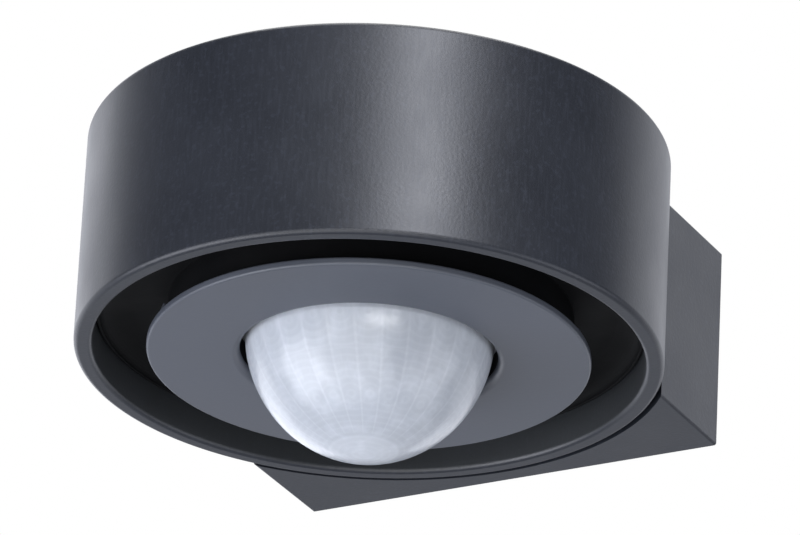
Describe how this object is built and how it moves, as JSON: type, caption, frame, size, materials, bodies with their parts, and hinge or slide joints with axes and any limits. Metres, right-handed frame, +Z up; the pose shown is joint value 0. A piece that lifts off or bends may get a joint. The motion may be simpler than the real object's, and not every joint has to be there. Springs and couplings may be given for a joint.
{
  "type": "motion sensor",
  "caption": "Wall-mounted motion sensor: a round head with a recessed rim, a flush front disc and a white dome lens, on a block bracket with a concave front.",
  "frame": {"origin": "on the wall plane, on the axis of the cable entry, midway between the two wall screws", "axes": "+Z up, +Y into the wall, +X to the right as seen from in front"},
  "size_m": [0.11, 0.1145, 0.0619],
  "materials": {
    "powder_coat": "satin",
    "trim_plastic": "satin",
    "black_plastic": "matte",
    "lens_plastic": "satin",
    "rubber": "matte",
    "steel": "satin",
    "brass": "satin",
    "earth_wire": "satin",
    "circuit_board": "satin",
    "terminal_plastic": "satin",
    "button_plastic": "satin",
    "component_black": "satin",
    "component_yellow": "gloss",
    "capacitor_sleeve": "gloss",
    "varistor_blue": "satin",
    "fuse_glass": "gloss",
    "copper_winding": "gloss",
    "filter_window": "gloss",
    "diode_lens": "gloss",
    "led_red": "gloss",
    "pot_blue": "satin",
    "dial_plastic": "satin"
  },
  "bodies": {
    "sensor": {"wall_bracket": "powder_coat", "wall_gasket": "rubber", "neck_seal": "rubber", "neck_screws": "steel", "cable_grommet": "rubber", "housing_shell": "powder_coat", "cable_clamp": "black_plastic", "clamp_screws": "steel", "earth_washer": "brass", "earth_screw": "steel", "earth_lead": "earth_wire", "power_board": "circuit_board", "board_screws": "steel", "terminal_block": "terminal_plastic", "terminal_springs": "steel", "relay": "component_black", "film_capacitor": "component_yellow", "electrolytic_capacitor": "capacitor_sleeve", "varistor": "varistor_blue", "fuse": "fuse_glass", "fuse_clips": "steel", "line_choke": "copper_winding", "rectifier": "component_black", "link_socket": "black_plastic", "link_header": "black_plastic", "closure_gasket": "rubber", "closure_plate": "black_plastic", "closure_screws": "steel", "lens_gasket": "rubber", "fresnel_lens": "lens_plastic", "lens_frame": "black_plastic", "sensor_board": "circuit_board", "sensor_screws": "steel", "pyro_can": "steel", "pyro_window": "filter_window", "light_sensor": "diode_lens", "status_led": "led_red", "trimmer_pots": "pot_blue", "controller_chip": "component_black"},
    "cover": {"front_disc": "trim_plastic"},
    "time_setting": {"time_dial": "dial_plastic"},
    "lux_setting": {"lux_dial": "dial_plastic"},
    "range_setting": {"range_dial": "dial_plastic"},
    "line_release": {"release_line": "button_plastic"},
    "neutral_release": {"release_neutral": "button_plastic"},
    "load_release": {"release_load": "button_plastic"},
    "earth_release": {"release_earth": "button_plastic"}
  },
  "joints": [
    {"name": "cover_pull", "type": "slide", "parent": "sensor", "child": "cover", "axis": [0, 0, -1], "range_m": [0, 0.03]},
    {"name": "time_turn", "type": "hinge", "parent": "sensor", "child": "time_setting", "pos_m": [-0.00277, -0.09118, -0.01755], "axis": [0, 0, 1], "range_deg": [-135, 135]},
    {"name": "lux_turn", "type": "hinge", "parent": "sensor", "child": "lux_setting", "pos_m": [0.01088, -0.08938, -0.01755], "axis": [0, 0, 1], "range_deg": [-135, 135]},
    {"name": "range_turn", "type": "hinge", "parent": "sensor", "child": "range_setting", "pos_m": [0.02249, -0.08199, -0.01755], "axis": [0, 0, 1], "range_deg": [-135, 135]},
    {"name": "line_press", "type": "slide", "parent": "sensor", "child": "line_release", "axis": [0, 0, 1], "range_m": [0, 0.0012], "stiffness_N_per_m": 300, "springref_m": -0.003},
    {"name": "neutral_press", "type": "slide", "parent": "sensor", "child": "neutral_release", "axis": [0, 0, 1], "range_m": [0, 0.0012], "stiffness_N_per_m": 300, "springref_m": -0.003},
    {"name": "load_press", "type": "slide", "parent": "sensor", "child": "load_release", "axis": [0, 0, 1], "range_m": [0, 0.0012], "stiffness_N_per_m": 300, "springref_m": -0.003},
    {"name": "earth_press", "type": "slide", "parent": "sensor", "child": "earth_release", "axis": [0, 0, 1], "range_m": [0, 0.0012], "stiffness_N_per_m": 300, "springref_m": -0.003}
  ]
}
